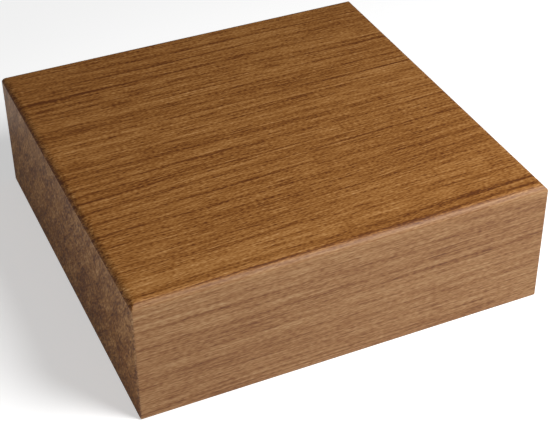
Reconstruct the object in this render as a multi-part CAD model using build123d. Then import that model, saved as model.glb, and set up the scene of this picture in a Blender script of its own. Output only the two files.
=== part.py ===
from build123d import *
import math
import os

# Wooden display block: one square of solid hardwood, sawn, planed and sanded.
# Frame: millimetres, +Z up, origin at the middle of the underside.
# The grain runs along X, so the two faces across X are end grain.

# Overall sizes
WIDTH = 100.0          # along the grain, X
DEPTH = 100.0          # across the grain, Y
HEIGHT = 32.0          # thickness of the board it was cut from, Z

# The eased rim: a steep narrow slope run along each top edge, blended into the top by a wide round
RIM_DROP = 1.35        # how far the rim reaches down the side, where it ends in a crisp line
RIM_SLOPE = 60.0       # steepness of the rim at that line, degrees from level
RIM_ROUND = 2.2        # radius of the round that blends the slope into the top

# Edges that are only broken
CORNER_RADIUS = 0.4    # upright corners, touched with sandpaper
FOOT_BREAK = 0.25      # tiny slope round the underside, so that it can't splinter


def sawn_blank():
    """The square as it comes off the saw, standing on its underside."""
    return Box(WIDTH, DEPTH, HEIGHT, align=(Align.CENTER, Align.CENTER, Align.MIN))


def rim_at(solid, level):
    """The edges that run round a solid at one height."""
    return solid.edges().filter_by_position(Axis.Z, level, level)


def sloped_rim(solid):
    """A steep slope along the four top edges, which meet in a mitre at each corner."""
    top = solid.faces().sort_by(Axis.Z)[-1]
    inset = RIM_DROP / math.tan(math.radians(RIM_SLOPE))
    return chamfer(rim_at(solid, HEIGHT), inset, RIM_DROP, reference=top)


def widest_round():
    """The largest round that leaves a strip of slope for the corner's own round to run out on.

    A round takes its radius times the tangent of half the slope from the slope's length. The
    corner's round climbs the mitre until the slope has drawn in as far as its arc does.
    """
    slope = math.radians(RIM_SLOPE)
    slope_length = RIM_DROP / math.sin(slope)
    corner_climb = CORNER_RADIUS * (1.0 - math.sqrt(0.5)) / math.cos(slope)
    return (slope_length - 1.2 * corner_climb) / math.tan(slope / 2.0)


def rounded_rim(solid):
    """The line between the slopes and the top, rounded until little of the slope is left."""
    return fillet(rim_at(solid, HEIGHT), min(RIM_ROUND, widest_round()))


def sanded_edges(solid):
    """Just break the upright corners and the rim of the underside."""
    rounded = fillet(solid.edges().filter_by(Axis.Z), CORNER_RADIUS)
    return chamfer(rim_at(rounded, 0.0), FOOT_BREAK)


def display_block():
    """The whole object: one solid, with no joint, hole or fixing in it."""
    return sanded_edges(rounded_rim(sloped_rim(sawn_blank())))


os.makedirs("parts", exist_ok=True)
block = display_block()
export_step(block, "parts/display_block.step")
print("display_block", round(block.volume / 1000.0, 1), "cubic centimetres")
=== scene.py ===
# %% [markdown]
# # A solid wooden display block
#
# The object is one square of oiled hardwood, 100 mm across and 32 mm thick, with a small eased rim
# along its top edges. Nothing moves and nothing is fixed to it, so all the care goes into two
# things: an edge that turns the light as a planed edge does, and a finish that is wood all the
# way through, so that lines on the top run over the edge and down the front.
#
# The measured model comes in first. It is the frame: the block's width, depth and height are read
# from it.

import bmesh
import bpy
import numpy as np
from mathutils import Matrix, Vector


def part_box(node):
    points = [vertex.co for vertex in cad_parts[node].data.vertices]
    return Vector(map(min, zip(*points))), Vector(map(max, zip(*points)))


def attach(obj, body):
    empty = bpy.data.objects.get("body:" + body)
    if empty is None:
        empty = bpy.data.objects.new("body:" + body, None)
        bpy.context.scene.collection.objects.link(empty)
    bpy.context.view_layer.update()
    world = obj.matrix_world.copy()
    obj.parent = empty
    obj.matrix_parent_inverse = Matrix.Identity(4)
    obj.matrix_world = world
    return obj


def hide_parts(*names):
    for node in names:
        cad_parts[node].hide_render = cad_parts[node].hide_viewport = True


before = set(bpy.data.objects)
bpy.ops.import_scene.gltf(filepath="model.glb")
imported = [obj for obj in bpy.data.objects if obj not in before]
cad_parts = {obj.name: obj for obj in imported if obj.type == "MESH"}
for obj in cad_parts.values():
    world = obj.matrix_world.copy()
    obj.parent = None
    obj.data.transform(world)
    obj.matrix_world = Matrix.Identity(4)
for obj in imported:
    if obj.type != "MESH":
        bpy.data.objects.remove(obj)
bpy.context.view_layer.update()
low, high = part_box("display_block")
WIDTH, DEPTH, HEIGHT = (high[axis] - low[axis] for axis in range(3))
MM = 0.001
print("block, mm:", round(WIDTH / MM, 1), round(DEPTH / MM, 1), round(HEIGHT / MM, 1))

# %% [markdown]
# ## The planed outline
#
# On the real block the side goes straight up to a crisp line. There a steep narrow slope has been
# run along the edge, and a wide round blends it into the top. The foot and the upright corners are
# only just broken. A Bevel modifier on a cube could do this, but it gives every edge the same
# turn. Here the outline is a short list of points, and each point is softened by its own radius,
# which is how a maker would describe it.

# %% The outline from the foot to the top
RIM_DROP = 1.35 * MM
RIM_INSET = RIM_DROP / np.tan(np.radians(60.0))
RIM_TURN = 2.2 * MM
LINE_TURN = 0.10 * MM
FOOT_BREAK = 0.25 * MM
FOOT_TURN = 0.2 * MM
RIM_STEPS = 15
FINE_STEPS = 5


def soft_turn(before, corner, after, radius, steps):
    """Points on the arc that touches both lines through a corner.

    The arc starts and ends at radius times the tangent of half the turn from the corner, and its
    centre lies on the line that halves the angle, at radius divided by the cosine of half the turn.
    """
    into = (corner - before) / np.linalg.norm(corner - before)
    out = (after - corner) / np.linalg.norm(after - corner)
    half_turn = 0.5 * np.arccos(np.clip(into @ out, -1.0, 1.0))
    inward = (out - into) / np.linalg.norm(out - into)
    centre = corner + inward * radius / np.cos(half_turn)
    start = corner - into * radius * np.tan(half_turn) - centre
    finish = corner + out * radius * np.tan(half_turn) - centre
    share = np.linspace(0.0, 1.0, steps)[:, None]
    total = 2.0 * half_turn
    arc = np.sin((1.0 - share) * total) * start + np.sin(share * total) * finish
    return centre + arc / np.sin(total)


def planed_outline():
    """Pairs of inset from the side and height, from the flat foot up to the flat top."""
    corners = np.array([
        (4.0 * FOOT_BREAK, 0.0),
        (FOOT_BREAK, 0.0),
        (0.0, FOOT_BREAK),
        (0.0, HEIGHT - RIM_DROP),
        (RIM_INSET, HEIGHT),
        (RIM_INSET + 1.5 * RIM_TURN, HEIGHT),
    ])
    turned = ((FOOT_TURN, FINE_STEPS), (FOOT_TURN, FINE_STEPS),
              (LINE_TURN, FINE_STEPS), (RIM_TURN, RIM_STEPS))
    turns = [soft_turn(*corners[i:i + 3], *turned[i]) for i in range(len(turned))]
    side = np.linspace(turns[1][-1], turns[2][0], 14)[1:-1]
    return np.vstack([corners[:1], turns[0], turns[1], side, turns[2], turns[3], corners[-1:]])


outline = planed_outline()
print("outline points:", len(outline))

# %% [markdown]
# ## Carrying the outline round the square
#
# Each point of the outline becomes a ring: a square drawn in by the point's inset, with its four
# corners rounded. Low down the corners are rounded by a touch of sandpaper. Up the rim that
# rounding runs out to nothing, so that the four rims meet in the crisp mitres of the real block.
# All the rings are one array worked out at once, and the flat top and foot are two grids.

# %% The skin as one grid of rings and two flats
CORNER_TURN = 0.4 * MM
CORNER_FADE = 1.0 * MM
CORNER_STEPS = 6
SIDE_STEPS = 60
STEPS = 0.5 - 0.5 * np.cos(np.linspace(0.0, np.pi, SIDE_STEPS + 1))


def rings(inset, level):
    """Points for every ring at once, counter-clockwise from the front left corner.

    A point is a corner arc's centre, which is the half width less the inset and the arc's radius,
    plus the radius times the cosine and sine of its turn. The radius shrinks to nothing as the
    inset grows. Between two arcs the points lie on a straight line, closer near its ends.
    """
    radius = (CORNER_TURN * np.clip(1.0 - inset / CORNER_FADE, 0.0, 1.0))[:, None]
    half_x = (WIDTH / 2.0 - inset)[:, None] - radius
    half_y = (DEPTH / 2.0 - inset)[:, None] - radius
    xs, ys = [], []
    for quarter, (sign_x, sign_y) in enumerate(((-1, -1), (1, -1), (1, 1), (-1, 1))):
        angle = np.pi + (quarter + np.linspace(0.0, 1.0, CORNER_STEPS)) * np.pi / 2.0
        arc_x = sign_x * half_x + radius * np.cos(angle)
        arc_y = sign_y * half_y + radius * np.sin(angle)
        if quarter:
            xs.append(xs[-1][:, -1:] + (arc_x[:, :1] - xs[-1][:, -1:]) * STEPS[1:-1])
            ys.append(ys[-1][:, -1:] + (arc_y[:, :1] - ys[-1][:, -1:]) * STEPS[1:-1])
        xs.append(arc_x)
        ys.append(arc_y)
    xs.append(xs[-1][:, -1:] + (xs[0][:, :1] - xs[-1][:, -1:]) * STEPS[1:-1])
    ys.append(ys[-1][:, -1:] + (ys[0][:, :1] - ys[-1][:, -1:]) * STEPS[1:-1])
    x, y = np.hstack(xs), np.hstack(ys)
    return np.stack([x, y, np.broadcast_to(level[:, None], x.shape)], axis=-1)


def flat(inset, level):
    """A square grid at one height, whose rim has the same steps as the sides of a ring."""
    x = (2.0 * STEPS - 1.0) * (WIDTH / 2.0 - inset)
    y = (2.0 * STEPS - 1.0) * (DEPTH / 2.0 - inset)
    grid_x, grid_y = np.meshgrid(x, y)
    return np.stack([grid_x, grid_y, np.full_like(grid_x, level)], axis=-1)


def cells(numbers):
    """The four corner numbers of every cell in a grid of point numbers."""
    corners = [numbers[:-1, :-1], numbers[:-1, 1:], numbers[1:, 1:], numbers[1:, :-1]]
    return np.stack([corner.ravel() for corner in corners], axis=1)


def skin_mesh(name):
    """The closed skin: the rings, then the flat top, then the flat foot facing down."""
    band = rings(outline[:, 0], outline[:, 1])
    top = flat(outline[-1, 0], HEIGHT)
    foot = flat(outline[0, 0], 0.0)
    points = np.vstack([part.reshape(-1, 3) for part in (band, top, foot)])
    band_numbers = np.arange(band.shape[0] * band.shape[1]).reshape(band.shape[:2])
    band_numbers = np.hstack([band_numbers, band_numbers[:, :1]])
    top_numbers = band[..., 0].size + np.arange(top[..., 0].size).reshape(top.shape[:2])
    foot_numbers = top_numbers + top[..., 0].size
    faces = np.vstack([cells(band_numbers), cells(top_numbers), cells(foot_numbers)[:, ::-1]])
    mesh = bpy.data.meshes.new(name)
    mesh.from_pydata(points.tolist(), [], faces.tolist())
    return mesh


block = bpy.data.objects.new("oiled_block", skin_mesh("oiled_block"))
bpy.context.scene.collection.objects.link(block)
print("points before merging:", len(block.data.vertices))

# %% [markdown]
# ## Closing the seams
#
# Where the corner rounding has run out, its points lie on each other, and the rims of the two
# flats lie on the first and last ring. Merging by distance joins them into one closed skin.
# Shading is smooth everywhere except at real creases: the four mitres turn too sharply to blend.

# %% Merge and shade
MERGE_WITHIN = 0.001 * MM
CREASE_ANGLE = np.radians(35.0)


def close_skin(mesh):
    """Merge points that coincide, which also drops the cells that have no area."""
    work = bmesh.new()
    work.from_mesh(mesh)
    bmesh.ops.remove_doubles(work, verts=work.verts, dist=MERGE_WITHIN)
    bmesh.ops.dissolve_degenerate(work, edges=work.edges, dist=MERGE_WITHIN / 10.0)
    open_edges = sum(1 for edge in work.edges if len(edge.link_faces) != 2)
    volume = work.calc_volume(signed=True)
    work.to_mesh(mesh)
    work.free()
    return open_edges, volume


open_edges, volume = close_skin(block.data)
block.data.shade_smooth()
block.data.set_sharp_from_angle(angle=CREASE_ANGLE)
print("faces:", len(block.data.polygons), "open edges:", open_edges)
print("volume, cubic cm:", round(volume * 1e6, 2))

# %% [markdown]
# ## A map for each side
#
# The colour below is worked out in space, so the render needs no map at all. A copy of the block
# that leaves Blender does: its colours are painted onto a flat sheet. Each side gets its own
# rectangle here, with the top the largest, because fine pores need the most room there, and the
# hidden foot the smallest.

# %% Lay the six sides out flat
X, Y, Z = range(3)
SHEET = {
    "top": ((X, 1), (Y, 1), (0.005, 0.345, 0.655, 0.995)),
    "foot": ((X, 1), (Y, -1), (0.670, 0.005, 0.995, 0.330)),
    "front": ((X, 1), (Z, 1), (0.005, 0.180, 0.655, 0.335)),
    "back": ((X, -1), (Z, 1), (0.005, 0.010, 0.655, 0.165)),
    "left": ((Z, 1), (Y, 1), (0.670, 0.345, 0.825, 0.995)),
    "right": ((Z, -1), (Y, 1), (0.840, 0.345, 0.995, 0.995)),
}
FACES_UP = 0.3


def side_of(normals):
    """Which side each face belongs to: up or down if it leans that way, else its nearest side."""
    nearest_x = np.abs(normals[:, X]) > np.abs(normals[:, Y])
    conditions = [
        normals[:, Z] > FACES_UP,
        normals[:, Z] < -FACES_UP,
        ~nearest_x & (normals[:, Y] < 0.0),
        ~nearest_x,
        nearest_x & (normals[:, X] < 0.0),
    ]
    return np.select(conditions, range(5), default=5)


def lay_out(mesh):
    """Straight projection of each face along its side's axis, scaled into that side's box.

    A place in the map is the box's near edge plus the box's span times how far the point lies
    from the low end of the block, as a share of its size, or from the high end if turned round.
    """
    count = len(mesh.polygons)
    normals = np.empty(count * 3)
    mesh.polygons.foreach_get("normal", normals)
    sizes = np.empty(count, dtype=int)
    mesh.polygons.foreach_get("loop_total", sizes)
    corner_points = np.empty(len(mesh.loops), dtype=int)
    mesh.loops.foreach_get("vertex_index", corner_points)
    points = np.empty(len(mesh.vertices) * 3)
    mesh.vertices.foreach_get("co", points)
    places = points.reshape(-1, 3)[corner_points]
    shares = (places - np.array(low)) / (np.array(high) - np.array(low))
    side = np.repeat(side_of(normals.reshape(-1, 3)), sizes)
    sheet = np.zeros((len(corner_points), 2))
    for number, (across, up, box) in enumerate(SHEET.values()):
        here = side == number
        for column, (axis, turned) in enumerate((across, up)):
            share = shares[here, axis] if turned > 0 else 1.0 - shares[here, axis]
            sheet[here, column] = box[column] + (box[column + 2] - box[column]) * share
    mesh.uv_layers.new(name="OFBake").data.foreach_set("uv", sheet.ravel())
    return np.bincount(side, minlength=6)


print("map corners on each side:", dict(zip(SHEET, lay_out(block.data).tolist())))

# %% [markdown]
# ## Writing a finish as sums
#
# The wood is a recipe of sums on distances: how deep in the board, how far along the grain. Nodes
# can hold such sums, but a hundred Math nodes are hard to read. A small class wraps a node's
# socket, and each ordinary operator on it adds one Math node, so a sum reads like a sum.

# %% A socket that can be added, multiplied and raised to a power
class Wire:
    """One output in a material's node tree, for use in ordinary sums."""

    def __init__(self, recipe, socket):
        self.recipe = recipe
        self.socket = socket

    def sum(self, operation, first, second=0.0, third=0.0):
        settings = {"operation": operation}
        node = self.recipe.node("ShaderNodeMath", settings, {0: first, 1: second, 2: third})
        return self.recipe.wire(node)

    def __add__(self, other):
        return self.sum("ADD", self, other)

    def __sub__(self, other):
        return self.sum("SUBTRACT", self, other)

    def __rsub__(self, other):
        return self.sum("SUBTRACT", other, self)

    def __mul__(self, other):
        return self.sum("MULTIPLY", self, other)

    def __truediv__(self, other):
        return self.sum("DIVIDE", self, other)

    def __pow__(self, other):
        return self.sum("POWER", self, other)

    def __neg__(self):
        return self * -1.0

    __radd__ = __add__
    __rmul__ = __mul__

    def exp(self):
        return self.sum("EXPONENT", self)

    def size(self):
        return self.sum("ABSOLUTE", self)

    def at_least(self, other):
        return self.sum("MAXIMUM", self, other)

    def at_most(self, other):
        return self.sum("MINIMUM", self, other)


class Recipe:
    """A material being written: it adds nodes and joins them."""

    def __init__(self, name):
        self.material = bpy.data.materials.new(name)
        self.material.use_nodes = True
        self.tree = self.material.node_tree
        self.tree.nodes.clear()

    def node(self, kind, settings=None, sockets=None):
        """Add a node: its settings first, then a value or a wire for each named socket."""
        node = self.tree.nodes.new(kind)
        for name, value in (settings or {}).items():
            setattr(node, name, value)
        for name, value in (sockets or {}).items():
            if isinstance(value, Wire):
                self.tree.links.new(value.socket, node.inputs[name])
            else:
                node.inputs[name].default_value = value
        return node

    def wire(self, node, output=0):
        return Wire(self, node.outputs[output])

    def vector(self, x, y, z):
        return self.wire(self.node("ShaderNodeCombineXYZ", None, {0: x, 1: y, 2: z}))

    def rise(self, value, start, end):
        """0 below start, 1 above end, and a smooth S between them."""
        settings = {"interpolation_type": "SMOOTHSTEP"}
        sockets = {"Value": value, "From Min": start, "From Max": end}
        return self.wire(self.node("ShaderNodeMapRange", settings, sockets))

    def noise(self, place, detail=0.0, roughness=0.5):
        """Soft noise about 0, between about -1 and 1, with features one unit across."""
        sockets = {"Vector": place, "Scale": 1.0, "Detail": detail, "Roughness": roughness}
        return self.wire(self.node("ShaderNodeTexNoise", None, sockets)) * 2.0 - 1.0


print("sums ready")

# %% [markdown]
# ## Where a point lies in the board
#
# Wood grows in sheets. Cut along the grain those sheets show as long lines, and cut across they
# show as slanting bands. So the finish first works out three distances for any point: how far along
# the grain it is, how far in from the back, and how far below the top. A fourth, the growth, counts
# through the sheets: they lean back about 45 degrees under the top, and they wander a little. Every
# face then cuts the same sheets, and lines meet at the edges.

# %% Distances in the board, in millimetres
wood = Recipe("oiled_hardwood")
coordinates = wood.node("ShaderNodeTexCoord")
split = wood.node("ShaderNodeSeparateXYZ", None, {0: wood.wire(coordinates, "Object")})
along = wood.wire(split, "X") / MM
inward = DEPTH / MM / 2.0 - wood.wire(split, "Y") / MM
sunk = HEIGHT / MM - wood.wire(split, "Z") / MM
span = along / (WIDTH / MM) + 0.5

LEAN = 0.95
DRIFT = 0.04
DRIFT_CENTRE = 76.0
DRIFT_REACH = 30.0

offset = (inward - DRIFT_CENTRE) / DRIFT_REACH
drift = (-(offset * offset)).exp() * DRIFT * along
slow_wander = wood.noise(wood.vector(along / 55.0, inward / 14.0, sunk / 14.0)) * 0.9
quick_wander = wood.noise(wood.vector(along / 12.0, inward / 4.0, sunk / 4.0)) * 0.18
growth = inward + sunk * LEAN + drift + slow_wander + quick_wander
print("nodes so far:", len(wood.tree.nodes))

# %% [markdown]
# ## Which way the cut goes
#
# The finish has to know three kinds of skin apart. The face's own direction tells them: the long
# sides face front or back, and the ends face left or right. The rim above each end is a case of its
# own: the cutter that ran it crushed the fibre ends, so it drank oil and came out orange brown
# down to its lower line, and the flat end below it is plain and greyish.

# %% Long side, end and end rim
facing = wood.node("ShaderNodeSeparateXYZ", None, {0: wood.wire(coordinates, "Normal")})
end_turn = wood.wire(facing, "X").size()
RIM_DEPTH = 1.35
ragged = wood.noise(wood.vector(along / 6.0, growth / 0.7, 0.5), detail=2.0)
long_side = wood.rise(wood.wire(facing, "Y").size(), 0.3, 0.95)
below_rim = wood.rise(sunk, RIM_DEPTH - 0.03, RIM_DEPTH + 0.07)
end_grain = wood.rise(end_turn, 0.4, 0.8) * below_rim
end_rim = wood.rise(end_turn, 0.1, 0.85) * (1.0 - below_rim)
print("nodes so far:", len(wood.tree.nodes))

# %% [markdown]
# ## Growth lines
#
# Each year the tree lays down pale, open wood and then a thin dark line. No two years are alike,
# so each line's place, width and darkness are drawn by chance between limits, always from the same
# seed, and the block looks the same every time. Most lines are faint and a few are strong. A
# line's darkness falls off on both sides as a bell curve, e to the minus square of the distance
# over the width.

# %% The dark lines, one a year
YEARS = 40
YEAR_GROWTH = (1.6, 5.0)
LINE_WIDTHS = (0.30, 0.60)
FAINTEST = 0.05
DARKEST = 0.58
FADE_ALONG = 0.5
SEED = 12


def grown_years():
    """Place, width, and darkness at the left and right end, for the dark line of each year.

    A place is the sum of all the growth before it. Darkness goes from the faintest to the darkest
    with the square of an even draw, so that strong lines are few. Along the grain it rises or
    falls by up to a set share.
    """
    chance = np.random.default_rng(SEED)
    places = np.cumsum(chance.uniform(*YEAR_GROWTH, YEARS))
    widths = chance.uniform(*LINE_WIDTHS, YEARS)
    darkness = FAINTEST + (DARKEST - FAINTEST) * chance.uniform(0.0, 1.0, YEARS) ** 2.0
    change = chance.uniform(-FADE_ALONG, FADE_ALONG, YEARS)
    ends = [places, widths, darkness * (1.0 - change), darkness * (1.0 + change)]
    return np.stack(ends, axis=1).tolist()


def growth_lines():
    """The darkness of all the lines, added up."""
    total = 0.0
    for place, width, left, right in grown_years():
        offset = (growth - place) / width
        darkness = span * (right - left) + left
        total = (-(offset * offset)).exp() * darkness + total
    return total


broken = wood.noise(wood.vector(along / 12.0, growth / 0.5, sunk / 0.5), detail=1.0)
lines = growth_lines() * (broken * 0.5 + 1.0).at_least(0.0)
print("growth lines:", YEARS)

# %% [markdown]
# ## Fibres and pores
#
# Between the lines the wood is a bundle of long fibres. Noise that is stretched along the grain
# gives them: long and thin for the finest, longer and wider for the broad bands. Pores are tiny
# tubes, so on the top they are dashes and on the end they are dots. A Voronoi texture gives one
# spot to each cell of a stretched lattice, and a random value per cell decides if it is open.

# %% Fibres, bands and open pores
FINE_FIBRES = (
    # length, width, strength
    (0.9, 0.30, 0.62),
    (6.0, 0.38, 0.50),
    (26.0, 0.60, 0.40),
)
SIDE_FIBRES = (
    (1.1, 0.35, 0.40),
    (9.0, 0.45, 0.30),
    (45.0, 0.70, 0.30),
)
BROAD_BANDS = (
    (60.0, 1.3, 0.22),
    (80.0, 3.0, 0.15),
    (120.0, 6.0, 0.16),
    (200.0, 14.0, 0.16),
)
PORE_LENGTH = 2.6
PORE_SPACING = 0.6


def stretched(sizes):
    """Noise of several lengths, added up, stretched along the grain."""
    total = 0.0
    for length, width, strength in sizes:
        place = wood.vector(along / length, growth / width, sunk / width)
        total = wood.noise(place) * strength + total
    return total


def pores():
    """1 in the middle of an open pore and 0 outside: near a cell's spot, in cells that are open."""
    place = wood.vector(along / PORE_LENGTH, growth / PORE_SPACING, sunk / PORE_SPACING)
    sockets = {"Vector": place, "Scale": 1.0}
    spots = wood.node("ShaderNodeTexVoronoi", {"feature": "F1"}, sockets)
    chance = wood.node("ShaderNodeSeparateColor", None, {0: wood.wire(spots, "Color")})
    closeness = 1.0 - wood.rise(wood.wire(spots, "Distance"), 0.12, 0.38)
    rich = wood.noise(wood.vector(along / 40.0, growth / 3.0, sunk / 3.0)) * 0.5
    open_share = lines * 0.8 + 0.30 + rich
    return closeness * wood.rise(open_share - wood.wire(chance, "Red"), -0.02, 0.02)


fine = stretched(FINE_FIBRES)
side_fine = stretched(SIDE_FIBRES)
broad = stretched(BROAD_BANDS)
pore = pores()
print("nodes so far:", len(wood.tree.nodes))

# %% [markdown]
# ## End grain
#
# The two faces across the grain show the tubes end on. There the sheets show as slanting streaks,
# with fine rays square to them. Along the lower line of the end rim each growth line leaves a dark
# tick, and the ticks are darkest over one stretch near the back, where the cutter dwelt.

# %% The ends and the rims above them
across = inward - sunk / LEAN
streaks = wood.noise(wood.vector(along / 20.0, growth / 0.6, across / 2.5), detail=1.0) * 1.3
sheets = wood.noise(wood.vector(along / 30.0, growth / 3.5, across / 18.0)) * 0.45
rays = wood.noise(wood.vector(along / 12.0, growth / 3.0, across / 0.5)) * 0.8
# The end's tone falls by a hundredth for each millimetre below the top: painted shade, darker
# towards the table.
end_tone_and_shade = 1.12 + streaks + sheets + rays - lines * 0.15 - sunk * 0.010

DWELT = 21.0
DWELT_REACH = 13.0
dwelt_offset = (inward - DWELT) / DWELT_REACH
dwelt = (-(dwelt_offset * dwelt_offset)).exp()
down_rim = wood.rise(sunk, 0.2, RIM_DEPTH * 0.95)
tick = (ragged * 0.7 + lines * 1.0 + 0.26 + dwelt * 0.30).at_least(0.0)
soaked = down_rim * tick.at_most(0.52)
print("nodes so far:", len(wood.tree.nodes))

# %% [markdown]
# ## Colour
#
# Oiled wood doesn't just get darker in its lines. Blue falls fastest and red slowest, so dark wood
# is a deep red brown and pale wood is straw. One tone drives all three: red follows it as it is,
# green as a power a little over one, and blue as a higher power. The long sides have calmer grain
# than the top, and a painted sheen makes them a shade paler, standing for the pale table they
# reflect.

# %% One tone, three colours
RED, GREEN, BLUE = 0.275, 0.110, 0.0225
GREEN_POWER = 1.45
BLUE_POWER = 2.5
# Painted sheen: extra green and blue that make the long sides paler, standing for the reflected
# table.
PAINTED_SHEEN = (0.0, 0.023, 0.026)

top_tone = 1.0 + fine + broad - lines - pore * 0.20
side_tone = 1.0 + side_fine + broad * 0.3 - lines * 0.5 - pore * 0.16
grain_tone = top_tone + (side_tone - top_tone) * long_side - end_rim * soaked
tone = (grain_tone + (end_tone_and_shade - grain_tone) * end_grain).at_least(0.38)
shares = (tone * RED, tone ** GREEN_POWER * GREEN, tone ** BLUE_POWER * BLUE)
# Painted sheen on the long sides, stronger where the wood is paler.
painted_sheen = long_side * tone ** 2.0
pale = [share + painted_sheen * extra for share, extra in zip(shares, PAINTED_SHEEN)]
colour_sockets = dict(enumerate(pale))
colour = wood.wire(wood.node("ShaderNodeCombineColor", None, colour_sockets))

# %% [markdown]
# ## Surface
#
# A thin coat of oil leaves a low sheen. Pores and dark lines are slightly sunk, so a Bump node
# turns the light in them, and they are a little rougher than the fibres between.

# %% Sheen and relief
RELIEF = 0.08 * MM
height = fine * 0.3 - lines * 0.3 - pore * 0.8
bump_sockets = {"Strength": 0.30, "Distance": RELIEF, "Height": height}
bump = wood.wire(wood.node("ShaderNodeBump", None, bump_sockets))
surface_sockets = {
    "Base Color": colour,
    "Roughness": 0.54 + pore * 0.10 + lines * 0.05 - end_grain * 0.16,
    "Normal": bump,
    "IOR": 1.42,
}
surface = wood.wire(wood.node("ShaderNodeBsdfPrincipled", None, surface_sockets))
wood.node("ShaderNodeOutputMaterial", None, {"Surface": surface})
block.data.materials.append(wood.material)
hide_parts("display_block")
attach(block, "root")
print("finish:", wood.material.name, "nodes:", len(wood.tree.nodes))

# %% [markdown]
# ## Table, light and camera
#
# The block stands on a plain white table. A soft lamp stands in front and to the right, as a
# window would, and a weak, wide one low at the front left does the work of a pale card: it fills
# the end's shadow. The room around is dim, so the top keeps its warm colour and the front picks up
# the pale table. To the camera the table is pure white further out, and it keeps the shadow.

# %% Table
FLOOR_SIZE = 8.0
floor_mesh = bpy.data.meshes.new("table")
half_floor = FLOOR_SIZE / 2.0
floor_corners = [(-half_floor, -half_floor), (half_floor, -half_floor),
                 (half_floor, half_floor), (-half_floor, half_floor)]
floor_mesh.from_pydata([(x, y, -0.02 * MM) for x, y in floor_corners], [], [(0, 1, 2, 3)])
floor = bpy.data.objects.new("table", floor_mesh)
bpy.context.scene.collection.objects.link(floor)

table = Recipe("white_table")
where = table.wire(table.node("ShaderNodeTexCoord"), "Object")
reach = table.wire(table.node("ShaderNodeVectorMath", {"operation": "LENGTH"}, {0: where}), "Value")
seen = table.wire(table.node("ShaderNodeLightPath"), "Is Camera Ray")
matt = table.wire(table.node("ShaderNodeBsdfDiffuse", None, {"Color": (0.82, 0.82, 0.82, 1.0)}))
lift = seen * (0.45 + table.rise(reach, 1.2 * WIDTH, 4.0 * WIDTH) * 0.6)
glow = table.wire(table.node("ShaderNodeEmission", None, {"Strength": lift}))
both = table.wire(table.node("ShaderNodeAddShader", None, {0: matt, 1: glow}))
table.node("ShaderNodeOutputMaterial", None, {"Surface": both})
floor_mesh.materials.append(table.material)
print("table:", FLOOR_SIZE, "m across")

# %% Lamps and room
LAMP_DIRECTION = Vector((0.42, -0.57, 0.71)).normalized()
LAMP_DISTANCE = 0.38
LAMP_SIZE = 0.20
LAMP_BRIGHTNESS = 1.16
CARD_DIRECTION = Vector((-0.88, -0.38, 0.28)).normalized()
CARD_DISTANCE = 0.60
CARD_SIZE = 0.40
CARD_BRIGHTNESS = 0.22
ROOM_BRIGHTNESS = 0.08
middle = Vector((0.0, 0.0, HEIGHT / 2.0))


def round_lamp(name, direction, distance, size, brightness):
    """A round lamp that faces the block and lights a white card there to the given brightness."""
    data = bpy.data.lights.new(name, "AREA")
    data.shape = "DISK"
    data.size = size
    data.energy = brightness * (np.pi * distance) ** 2
    lamp = bpy.data.objects.new(name, data)
    lamp.location = middle + direction * distance
    lamp.rotation_mode = "QUATERNION"
    lamp.rotation_quaternion = direction.to_track_quat("Z", "Y")
    bpy.context.scene.collection.objects.link(lamp)
    return round(data.energy, 2)


window_watts = round_lamp("window", LAMP_DIRECTION, LAMP_DISTANCE, LAMP_SIZE, LAMP_BRIGHTNESS)
card_watts = round_lamp("pale_card", CARD_DIRECTION, CARD_DISTANCE, CARD_SIZE, CARD_BRIGHTNESS)
print("lamps, watts:", window_watts, card_watts)

world = bpy.data.worlds.new("dim_room")
world.use_nodes = True
bpy.context.scene.world = world
room = world.node_tree
room.nodes.clear()
path = room.nodes.new("ShaderNodeLightPath")
strength = room.nodes.new("ShaderNodeMapRange")
strength.inputs["To Min"].default_value = ROOM_BRIGHTNESS
strength.inputs["To Max"].default_value = 1.0
background = room.nodes.new("ShaderNodeBackground")
background.inputs["Color"].default_value = (1.0, 1.0, 1.0, 1.0)
world_output = room.nodes.new("ShaderNodeOutputWorld")
room.links.new(path.outputs["Is Camera Ray"], strength.inputs["Value"])
room.links.new(strength.outputs["Result"], background.inputs["Strength"])
room.links.new(background.outputs["Background"], world_output.inputs["Surface"])
print("room:", ROOM_BRIGHTNESS)

# %% [markdown]
# ## The camera
#
# A long lens looks down on the block from the front left. The camera is placed by its angles round
# the block and its distance in block widths, so the view holds if the block's size changes.

# %% Camera
AZIMUTH = np.radians(-23.93)
ELEVATION = np.radians(35.60)
ROLL = np.radians(-0.58)
DISTANCE = 3.435 * WIDTH
AIM = Vector((0.0444, 0.0024, 0.12)) * WIDTH
LENS = 89.69
SHIFT_UP = -0.04

backward = Vector((np.sin(AZIMUTH) * np.cos(ELEVATION),
                   -np.cos(AZIMUTH) * np.cos(ELEVATION),
                   np.sin(ELEVATION)))
level_right = backward.cross(Vector((0.0, 0.0, -1.0))).normalized()
level_up = backward.cross(level_right)
right = level_right * np.cos(ROLL) + level_up * np.sin(ROLL)
up = level_up * np.cos(ROLL) - level_right * np.sin(ROLL)
camera_data = bpy.data.cameras.new("camera")
camera_data.lens = LENS
camera_data.shift_y = SHIFT_UP
camera = bpy.data.objects.new("camera", camera_data)
turned = Matrix((right, up, backward)).transposed().to_4x4()
camera.matrix_world = Matrix.Translation(AIM + backward * DISTANCE) @ turned
bpy.context.scene.collection.objects.link(camera)
bpy.context.scene.camera = camera
bpy.context.scene.view_settings.view_transform = "Standard"
print("camera, mm:", [round(value / MM, 1) for value in camera.location])
